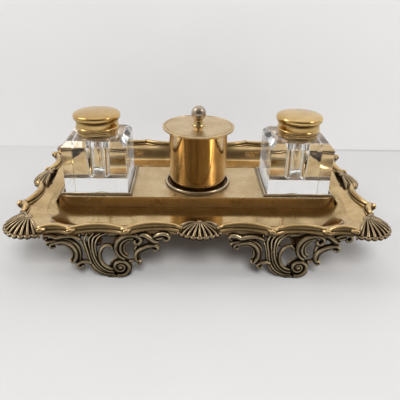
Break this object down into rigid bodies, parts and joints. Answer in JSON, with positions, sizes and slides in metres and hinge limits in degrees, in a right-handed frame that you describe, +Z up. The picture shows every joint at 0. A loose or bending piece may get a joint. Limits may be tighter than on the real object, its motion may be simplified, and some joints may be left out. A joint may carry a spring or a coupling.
{
  "type": "desk inkstand",
  "caption": "Footed rococo brass desk tray with shell border, two hinged cut-glass inkwells in square galleries and a central lidded pot.",
  "frame": {"origin": "on the table under the middle of the tray", "axes": "+X along the length to the right, +Y to the back, +Z up; the front faces -Y"},
  "size_m": [0.279, 0.188, 0.1063],
  "materials": {
    "polished_brass": "polished, lightly worn, warm yellow",
    "satin_brass": "fine brushed satin",
    "patinated_brass": "cast, dark patina in the recesses, rubbed bright on the high points",
    "dark_bronze": "dark toned, smooth",
    "clear_glass": "polished clear crystal"
  },
  "bodies": {
    "tray": {"tray_dish": "polished_brass", "platform": "satin_brass", "rim_front_left": "polished_brass", "rim_front_right": "polished_brass", "rim_back_left": "polished_brass", "rim_back_right": "polished_brass", "rim_left_front": "polished_brass", "rim_left_back": "polished_brass", "rim_right_front": "polished_brass", "rim_right_back": "polished_brass", "shell_front_left": "patinated_brass", "shell_front_right": "patinated_brass", "shell_back_left": "patinated_brass", "shell_back_right": "patinated_brass", "shell_front": "patinated_brass", "shell_back": "patinated_brass", "shell_left": "patinated_brass", "shell_right": "patinated_brass", "foot_front_left": "patinated_brass", "foot_front_right": "patinated_brass", "foot_back_left": "patinated_brass", "foot_back_right": "patinated_brass", "foot_screws": "patinated_brass", "well_frame_left": "polished_brass", "well_frame_right": "polished_brass", "pot_ring": "polished_brass"},
    "inkwell_left": {"glass_block_left": "clear_glass", "collar_left": "polished_brass", "hinge_pin_left": "dark_bronze"},
    "inkwell_lid_left": {"lid_left": "polished_brass"},
    "inkwell_right": {"glass_block_right": "clear_glass", "collar_right": "polished_brass", "hinge_pin_right": "dark_bronze"},
    "inkwell_lid_right": {"lid_right": "polished_brass"},
    "pot": {"pot_body": "polished_brass", "pot_floor": "polished_brass"},
    "pot_cover": {"pot_lid": "polished_brass", "finial_stem": "dark_bronze", "finial_ball": "dark_bronze"}
  },
  "joints": [
    {"name": "lift_inkwell_left", "type": "slide", "parent": "tray", "child": "inkwell_left", "axis": [0, 0, 1], "range_m": [0, 0.07]},
    {"name": "lid_hinge_left", "type": "hinge", "parent": "inkwell_left", "child": "inkwell_lid_left", "pos_m": [-0.0818, 0.0194, 0.088], "axis": [-1, 0, 0], "range_deg": [0, 105]},
    {"name": "lift_inkwell_right", "type": "slide", "parent": "tray", "child": "inkwell_right", "axis": [0, 0, 1], "range_m": [0, 0.07]},
    {"name": "lid_hinge_right", "type": "hinge", "parent": "inkwell_right", "child": "inkwell_lid_right", "pos_m": [0.0818, 0.0194, 0.088], "axis": [-1, 0, 0], "range_deg": [0, 105]},
    {"name": "lift_pot", "type": "slide", "parent": "tray", "child": "pot", "axis": [0, 0, 1], "range_m": [0, 0.07]},
    {"name": "lift_pot_lid", "type": "slide", "parent": "pot", "child": "pot_cover", "axis": [0, 0, 1], "range_m": [0, 0.03]}
  ]
}
